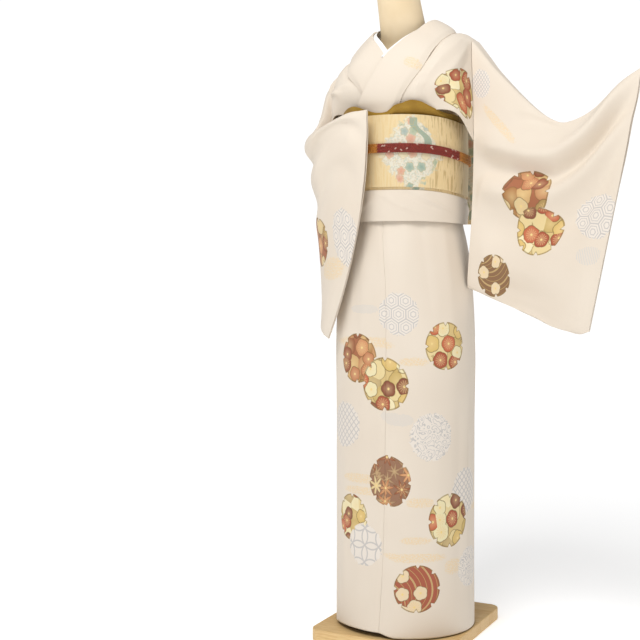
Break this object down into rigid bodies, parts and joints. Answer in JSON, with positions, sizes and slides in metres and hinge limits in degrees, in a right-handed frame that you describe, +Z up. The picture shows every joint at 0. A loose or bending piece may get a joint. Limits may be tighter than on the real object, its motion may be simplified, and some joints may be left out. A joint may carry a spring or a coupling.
{
  "type": "homongi kimono on a dress form",
  "caption": "Silk visiting kimono with patterned roundels, wide obi, sash and cord, dressed on a limbless form on a wooden board, one sleeve held out.",
  "frame": {"origin": "on the underside of the wooden board, below the pole of the dress form", "axes": "+Z up, -Y the way the wearer faces, +X to the wearer's left"},
  "size_m": [0.7163, 0.3279, 1.342],
  "materials": {
    "silk": "matt silk crepe",
    "collar_strip": "matt white crepe",
    "brocade": "soft gold brocade",
    "sash": "matt crepe",
    "cord": "silk braid",
    "form": "smooth matt skin",
    "pole": "brushed",
    "wood": "light, satin"
  },
  "bodies": {
    "root": {"skirt_okumi_left": "silk", "skirt_front_left": "silk", "skirt_back_left": "silk", "skirt_back_right": "silk", "skirt_front_right": "silk", "skirt_okumi_right": "silk", "ohashori_fold": "silk", "body_left": "silk", "body_right": "silk", "collar_left": "silk", "collar_right": "silk", "sleeve_left": "silk", "sleeve_right": "silk", "collar_strip_left": "collar_strip", "collar_strip_right": "collar_strip", "obi_under_wrap": "brocade", "obi_outer_wrap": "brocade", "obi_drum": "brocade", "obi_tail": "brocade", "obiage_sash": "sash", "obiage_pad": "sash", "obijime_cord": "cord", "dress_form": "form", "stand_pole": "pole", "stand_base": "wood"}
  },
  "joints": []
}
